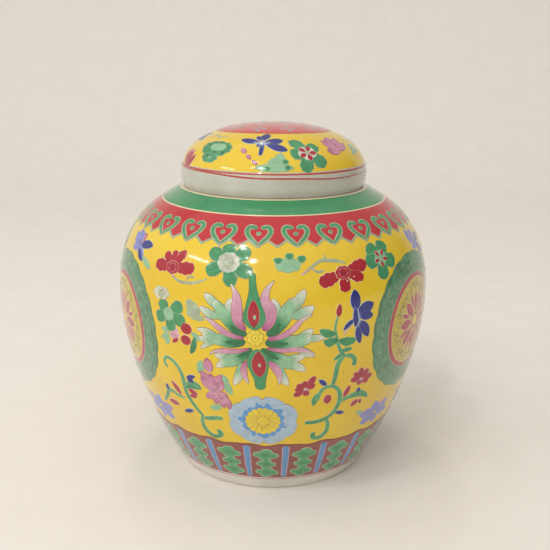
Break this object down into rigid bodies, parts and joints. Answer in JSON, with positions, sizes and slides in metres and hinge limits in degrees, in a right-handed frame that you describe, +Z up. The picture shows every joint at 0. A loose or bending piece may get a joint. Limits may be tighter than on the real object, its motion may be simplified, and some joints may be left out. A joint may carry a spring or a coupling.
{
  "type": "ginger jar",
  "caption": "Round-bellied porcelain ginger jar with a hollow body, a short neck, a recessed foot and a domed cap lid that lifts off.",
  "frame": {"origin": "on the jar's axis, in the plane that the foot ring stands on", "axes": "+Z up along the jar's axis; -Y is the front, where the lotus panel faces, and +X is to the right of the front"},
  "size_m": [0.19, 0.19, 0.2113],
  "materials": {
    "jar_porcelain": "gloss",
    "lid_porcelain": "gloss",
    "enamel_red": "gloss",
    "enamel_green": "gloss",
    "enamel_blue": "gloss",
    "enamel_pink": "gloss",
    "enamel_white": "gloss",
    "enamel_yellow": "gloss"
  },
  "bodies": {
    "jar": {"jar_body": "jar_porcelain"},
    "lid": {"lid": "lid_porcelain"}
  },
  "joints": [
    {"name": "lid_lift", "type": "slide", "parent": "jar", "child": "lid", "axis": [0, 0, 1], "range_m": [0, 0.08]}
  ]
}
